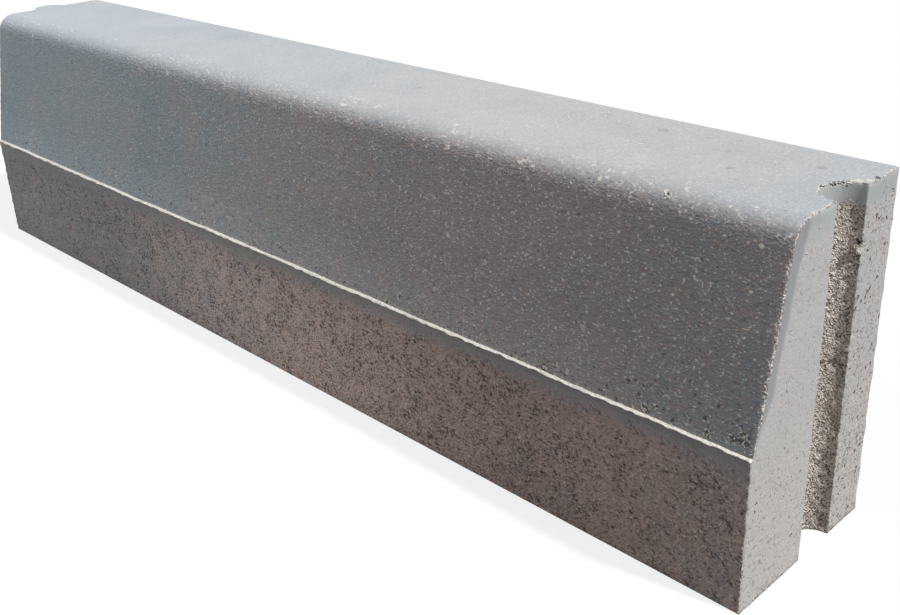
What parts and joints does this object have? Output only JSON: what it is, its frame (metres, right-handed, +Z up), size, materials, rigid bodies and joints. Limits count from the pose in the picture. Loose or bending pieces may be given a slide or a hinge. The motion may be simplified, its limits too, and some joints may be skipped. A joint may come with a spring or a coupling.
{
  "type": "concrete kerb stone",
  "caption": "Straight pressed concrete road kerb with an upright foot, a battered face, a rounded top edge, and a half-round tongue and groove at its ends.",
  "frame": {"origin": "middle of the bed, the flat underside, halfway between the two end faces and halfway across the base", "axes": "+X along the row from the tongue end to the groove end, +Y from the road face to the back, +Z up from the bed to the top"},
  "size_m": [1.017, 0.15, 0.25],
  "materials": {
    "concrete": "matt pressed concrete, smooth on the top and batter, open-pored below them"
  },
  "bodies": {
    "root": {"kerb_stone": "concrete"}
  },
  "joints": []
}
